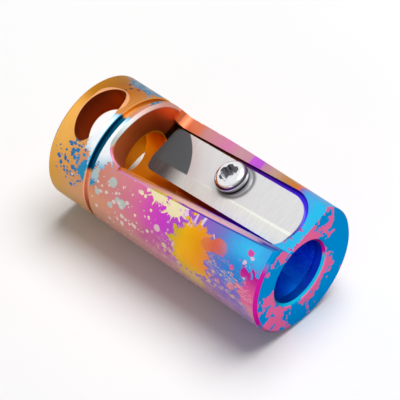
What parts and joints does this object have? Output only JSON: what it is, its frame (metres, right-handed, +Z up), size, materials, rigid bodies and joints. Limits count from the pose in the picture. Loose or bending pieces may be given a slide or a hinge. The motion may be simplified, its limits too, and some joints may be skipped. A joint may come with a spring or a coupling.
{
  "type": "pencil sharpener",
  "caption": "Round-bar pencil sharpener with an open milled window, a screwed-on steel blade, a lanyard slot and colour-anodised finish.",
  "frame": {"origin": "centre of the bounding box in plan, at the lowest line of the round body, which is what it rests on", "axes": "+X along the bar towards the pencil entry; +Z up; +Y towards the side where the milled flat runs out of the bar. At rest the bar is rolled 19 degrees about X from window straight up, which is where its weight settles it."},
  "size_m": [0.0345, 0.0168, 0.0168],
  "materials": {
    "body": "turned and milled metal, colour-anodised in bands and splashes of orange, coral, magenta, violet, gold and sky blue",
    "blade": "satin ground steel with a fine-brushed bevel",
    "screw": "polished stainless steel"
  },
  "bodies": {
    "bar": {"body": "body"},
    "cutter": {"blade": "blade"},
    "fixing": {"screw": "screw"}
  },
  "joints": [
    {"name": "blade_lift", "type": "slide", "parent": "bar", "child": "cutter", "axis": [-0.1908, -0.3196, 0.9281], "range_m": [0, 0.00135]},
    {"name": "screw_turn", "type": "hinge", "parent": "cutter", "child": "fixing", "pos_m": [0.00335, 0.00292, 0.01221], "axis": [-0.1908, -0.3196, 0.9281], "range_deg": [0, 1080]}
  ],
  "couplings": [
    {"joint": "screw_turn", "follows": "blade_lift", "rad_per_m": 13963}
  ]
}
